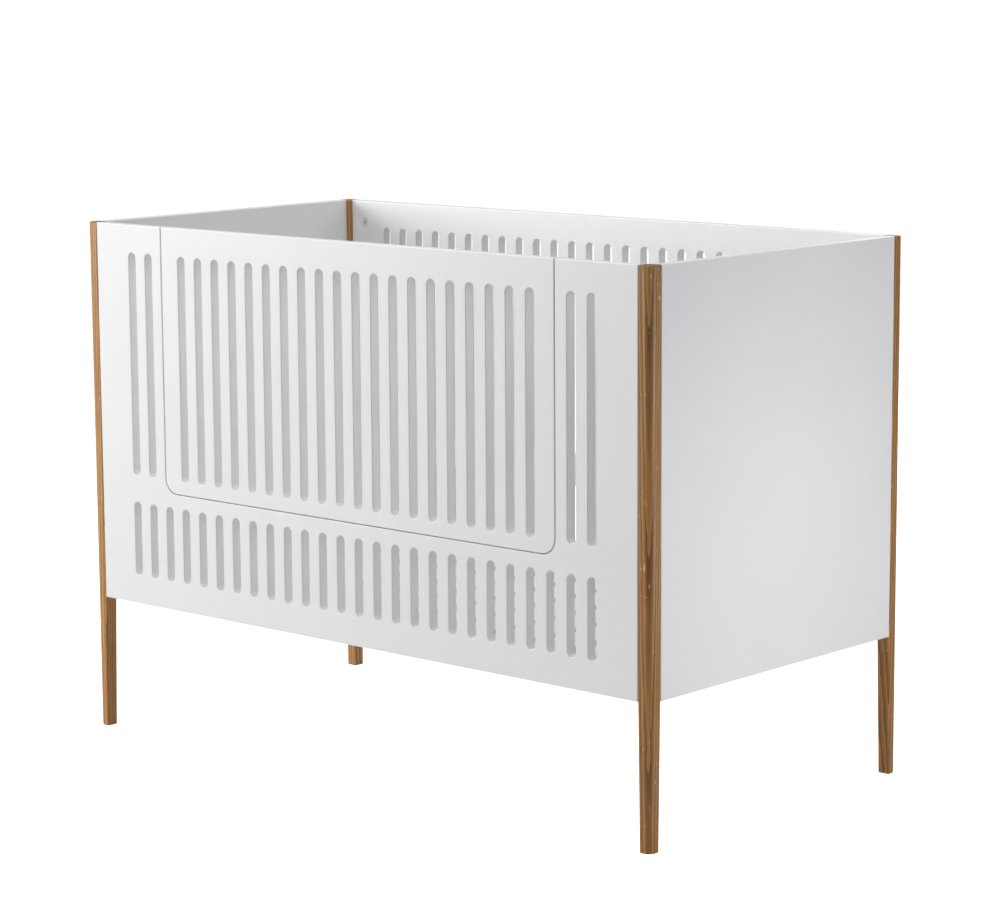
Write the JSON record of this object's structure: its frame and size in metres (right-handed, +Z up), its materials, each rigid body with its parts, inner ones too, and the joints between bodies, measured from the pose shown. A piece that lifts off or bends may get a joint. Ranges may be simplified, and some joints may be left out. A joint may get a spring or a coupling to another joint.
{
  "type": "baby crib",
  "caption": "Baby crib with tapered wooden corner posts, white slotted sides, plain ends, a lift-out front gate and a slatted mattress base that sets at different heights.",
  "frame": {"origin": "centre of the crib's plan on the floor, level with the soles of the feet", "axes": "+X along the crib, left to right seen from the front; -Y out of the front, where the gate is; +Z up"},
  "size_m": [1.256, 0.644, 0.891],
  "materials": {
    "oak": "oiled oak",
    "white_lacquer": "satin white lacquer on fibreboard",
    "zinc_cam": "die-cast zinc",
    "zinc_plated_steel": "zinc plated",
    "beech": "bare beech",
    "insert_brass": "plain",
    "bracket_steel": "white powder coat",
    "painted_slat": "white paint on birch plywood",
    "painted_rail": "white paint on pine"
  },
  "bodies": {
    "crib": {"post_front_left": "oak", "post_front_right": "oak", "post_back_left": "oak", "post_back_right": "oak", "front_frame": "white_lacquer", "back_panel": "white_lacquer", "end_panel_left": "white_lacquer", "end_panel_right": "white_lacquer", "front_cam_locks": "zinc_cam", "front_cam_bolts": "zinc_plated_steel", "front_dowels": "beech", "back_cam_locks": "zinc_cam", "back_cam_bolts": "zinc_plated_steel", "back_dowels": "beech", "gate_cam_bolts": "zinc_plated_steel", "end_dowels_left": "beech", "gate_spline_left": "beech", "threaded_inserts_left": "insert_brass", "end_dowels_right": "beech", "gate_spline_right": "beech", "threaded_inserts_right": "insert_brass", "base_bracket_front_left": "bracket_steel", "base_bracket_front_right": "bracket_steel", "base_bracket_back_left": "bracket_steel", "base_bracket_back_right": "bracket_steel", "bracket_screws": "zinc_plated_steel"},
    "gate": {"gate_panel": "white_lacquer", "gate_cam_locks": "zinc_cam"},
    "mattress_base": {"base_side_rail_front": "painted_rail", "base_side_rail_back": "painted_rail", "base_end_rail_left": "painted_rail", "base_end_rail_right": "painted_rail", "base_slat_01": "painted_slat", "base_slat_02": "painted_slat", "base_slat_03": "painted_slat", "base_slat_04": "painted_slat", "base_slat_05": "painted_slat", "base_slat_06": "painted_slat", "base_slat_07": "painted_slat", "base_slat_08": "painted_slat", "base_slat_09": "painted_slat", "base_slat_10": "painted_slat", "base_slat_11": "painted_slat", "base_slat_12": "painted_slat", "base_slat_13": "painted_slat", "base_slat_14": "painted_slat", "slat_screws": "zinc_plated_steel", "base_frame_screws": "zinc_plated_steel"}
  },
  "joints": [
    {"name": "gate_lift", "type": "slide", "parent": "crib", "child": "gate", "axis": [0, 0, 1], "range_m": [0, 0.46]},
    {"name": "base_height", "type": "slide", "parent": "crib", "child": "mattress_base", "axis": [0, 0, 1], "range_m": [0, 0.25]}
  ]
}
